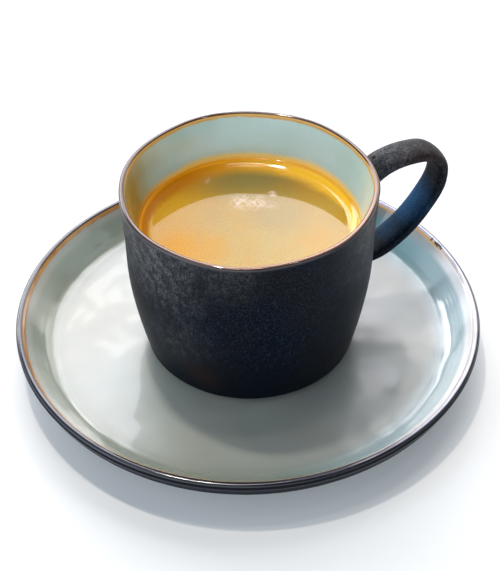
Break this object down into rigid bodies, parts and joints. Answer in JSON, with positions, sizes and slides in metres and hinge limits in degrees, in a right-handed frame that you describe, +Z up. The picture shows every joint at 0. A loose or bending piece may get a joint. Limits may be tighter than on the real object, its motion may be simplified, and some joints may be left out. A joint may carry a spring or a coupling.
{
  "type": "cup of americano",
  "caption": "Dark stoneware cup with a strap handle on its pale glazed saucer, filled with black coffee under a thin golden crema.",
  "frame": {"origin": "centre of the saucer's foot ring, on the surface the saucer stands on", "axes": "+Z up, +X from the cup's axis towards its handle, +Y to the left when looking along +X"},
  "size_m": [0.1605, 0.1601, 0.0702],
  "materials": {
    "saucer_glaze": "gloss",
    "cup_glaze": "satin",
    "coffee": "gloss",
    "crema": "satin"
  },
  "bodies": {
    "root": {"saucer": "saucer_glaze", "cup": "cup_glaze", "coffee": "coffee", "crema": "crema"}
  },
  "joints": []
}
